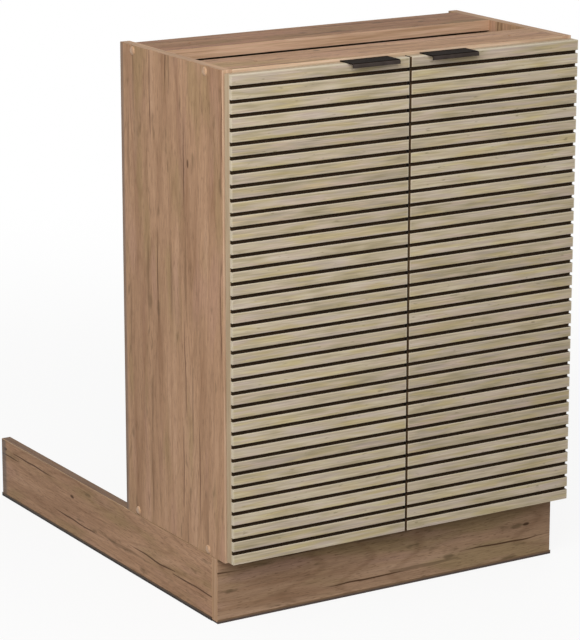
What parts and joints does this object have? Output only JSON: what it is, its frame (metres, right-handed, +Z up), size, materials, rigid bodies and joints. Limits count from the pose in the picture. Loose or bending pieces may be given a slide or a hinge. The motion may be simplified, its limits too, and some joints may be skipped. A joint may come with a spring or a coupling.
{
  "type": "kitchen base cabinet",
  "caption": "Shallow kitchen base cabinet with slatted doors on concealed hinges, black edge pulls, open top rails, levelling feet and a plinth that returns along the left side.",
  "frame": {"origin": "on the floor, under the middle of the whole object's box", "axes": "+Z up, +X to the right seen from the front, +Y to the back; the doors face -Y"},
  "size_m": [0.6036, 0.7718, 0.82],
  "materials": {
    "oak_decor_board": "melamine faced chipboard, brown oak decor with open grain, matt",
    "edge_strip": "pale brown edge band, matt",
    "fibreboard": "thin hardboard, brown lacquer inside, raw brown outside",
    "black_core": "black fibreboard, matt",
    "pale_oak_slat": "pale greyish oak decor slats, matt",
    "pale_edge_strip": "pale oak edge band, matt",
    "black_metal": "black powder coat, satin",
    "hinge_steel": "nickel plated pressed steel",
    "screw_steel": "zinc plated steel",
    "cap_plastic": "pale brown plastic",
    "beech": "fluted beech, raw",
    "black_plastic": "moulded black plastic, matt",
    "seal_strip": "soft dark plastic, satin",
    "clear_rubber": "clear soft plastic"
  },
  "bodies": {
    "carcass": {"left_side_panel": "oak_decor_board", "right_side_panel": "oak_decor_board", "bottom_panel": "oak_decor_board", "front_stretcher": "oak_decor_board", "rear_stretcher": "oak_decor_board", "shelf": "oak_decor_board", "front_plinth": "oak_decor_board", "left_plinth": "oak_decor_board", "back_panel": "fibreboard", "carcass_edge_bands": "edge_strip", "confirmat_screws": "screw_steel", "screw_caps": "cap_plastic", "dowels": "beech", "back_panel_screws": "screw_steel", "shelf_pins": "hinge_steel", "leg_sockets": "black_plastic", "leg_screws": "screw_steel", "front_plinth_seal": "seal_strip", "left_plinth_seal": "seal_strip", "front_plinth_clips": "black_plastic", "left_plinth_clips": "black_plastic", "plinth_corner_bracket": "screw_steel", "plinth_screws": "screw_steel", "hinge_plate_screws": "screw_steel", "hinge_arm_screws": "screw_steel", "left_lower_hinge_arm": "hinge_steel", "left_lower_hinge_plate": "hinge_steel", "left_upper_hinge_arm": "hinge_steel", "left_upper_hinge_plate": "hinge_steel", "right_lower_hinge_arm": "hinge_steel", "right_lower_hinge_plate": "hinge_steel", "right_upper_hinge_arm": "hinge_steel", "right_upper_hinge_plate": "hinge_steel"},
    "left_door": {"left_door_board": "black_core", "left_door_edge_bands": "pale_edge_strip", "left_door_slats": "pale_oak_slat", "left_door_bumpers": "clear_rubber", "left_handle": "black_metal", "left_handle_screws": "screw_steel", "left_hinge_pins": "hinge_steel", "left_cup_screws": "screw_steel", "left_lower_hinge_cup": "hinge_steel", "left_upper_hinge_cup": "hinge_steel"},
    "right_door": {"right_door_board": "black_core", "right_door_edge_bands": "pale_edge_strip", "right_door_slats": "pale_oak_slat", "right_door_bumpers": "clear_rubber", "right_handle": "black_metal", "right_handle_screws": "screw_steel", "right_hinge_pins": "hinge_steel", "right_cup_screws": "screw_steel", "right_lower_hinge_cup": "hinge_steel", "right_upper_hinge_cup": "hinge_steel"},
    "front_left_foot": {"front_left_foot": "black_plastic"},
    "front_right_foot": {"front_right_foot": "black_plastic"},
    "rear_left_foot": {"rear_left_foot": "black_plastic"},
    "rear_right_foot": {"rear_right_foot": "black_plastic"}
  },
  "joints": [
    {"name": "left_door_hinge", "type": "hinge", "parent": "carcass", "child": "left_door", "pos_m": [-0.292, -0.36035, 0.46], "axis": [0, 0, -1], "range_deg": [0, 95]},
    {"name": "right_door_hinge", "type": "hinge", "parent": "carcass", "child": "right_door", "pos_m": [0.292, -0.36035, 0.46], "axis": [0, 0, 1], "range_deg": [0, 95]},
    {"name": "front_left_foot_turn", "type": "hinge", "parent": "carcass", "child": "front_left_foot", "pos_m": [-0.244, -0.27035, 0.04], "axis": [0, 0, 1], "continuous": true},
    {"name": "front_right_foot_turn", "type": "hinge", "parent": "carcass", "child": "front_right_foot", "pos_m": [0.244, -0.27035, 0.04], "axis": [0, 0, 1], "continuous": true},
    {"name": "rear_left_foot_turn", "type": "hinge", "parent": "carcass", "child": "rear_left_foot", "pos_m": [-0.244, -0.12035, 0.04], "axis": [0, 0, 1], "continuous": true},
    {"name": "rear_right_foot_turn", "type": "hinge", "parent": "carcass", "child": "rear_right_foot", "pos_m": [0.244, -0.12035, 0.04], "axis": [0, 0, 1], "continuous": true}
  ]
}
